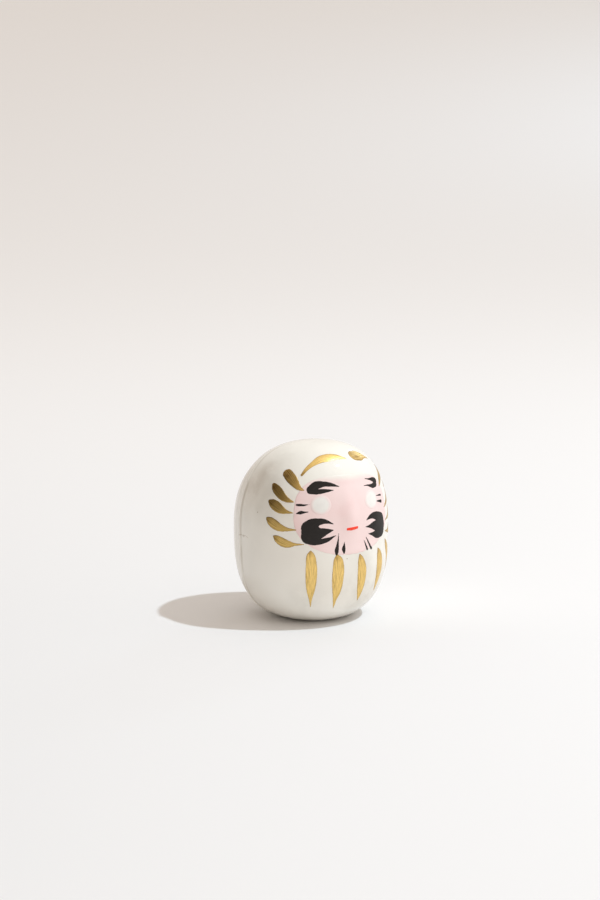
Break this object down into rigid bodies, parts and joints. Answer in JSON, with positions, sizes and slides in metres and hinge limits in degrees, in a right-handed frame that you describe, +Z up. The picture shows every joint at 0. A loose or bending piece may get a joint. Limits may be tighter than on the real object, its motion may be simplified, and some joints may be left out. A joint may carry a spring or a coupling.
{
  "type": "daruma doll",
  "caption": "Small egg-shaped tumbler doll of paper pulp with a clay weight in its base, a sunk painted face with blank eyes, and raised gold brush strokes round the face and on the belly",
  "frame": {"origin": "on the floor, under the middle of the doll's box", "axes": "+Z up, the face looks along -Y, +X is to the right of a viewer who faces the doll"},
  "size_m": [0.0858, 0.087, 0.1],
  "materials": {
    "pulp": "satin",
    "seam_paper": "matte",
    "clay": "matte",
    "base_paper": "matte",
    "pink_paint": "matte",
    "white_paint": "satin",
    "black_paint": "satin",
    "red_paint": "satin",
    "gold_paint": "satin"
  },
  "bodies": {
    "root": {"front_shell": "pulp", "rear_shell": "pulp", "seam_band": "seam_paper", "clay_weight": "clay", "base_paper": "base_paper", "face_paint": "pink_paint", "eye_left": "white_paint", "eye_right": "white_paint", "mouth": "red_paint", "brow_left": "black_paint", "brow_right": "black_paint", "lash_upper_left": "black_paint", "lash_lower_left": "black_paint", "lash_upper_right": "black_paint", "lash_lower_right": "black_paint", "moustache_left": "black_paint", "moustache_right": "black_paint", "chin_hair_outer_left": "black_paint", "chin_hair_inner_left": "black_paint", "chin_hair_inner_right": "black_paint", "chin_hair_outer_right": "black_paint", "forehead_stroke_left": "gold_paint", "forehead_stroke_right": "gold_paint", "whisker_left_1": "gold_paint", "whisker_left_2": "gold_paint", "whisker_left_3": "gold_paint", "whisker_left_4": "gold_paint", "whisker_left_5": "gold_paint", "whisker_right_1": "gold_paint", "whisker_right_2": "gold_paint", "whisker_right_3": "gold_paint", "whisker_right_4": "gold_paint", "whisker_right_5": "gold_paint", "chin_stroke_1": "gold_paint", "chin_stroke_2": "gold_paint", "chin_stroke_3": "gold_paint", "chin_stroke_4": "gold_paint", "chin_stroke_5": "gold_paint"}
  },
  "joints": []
}
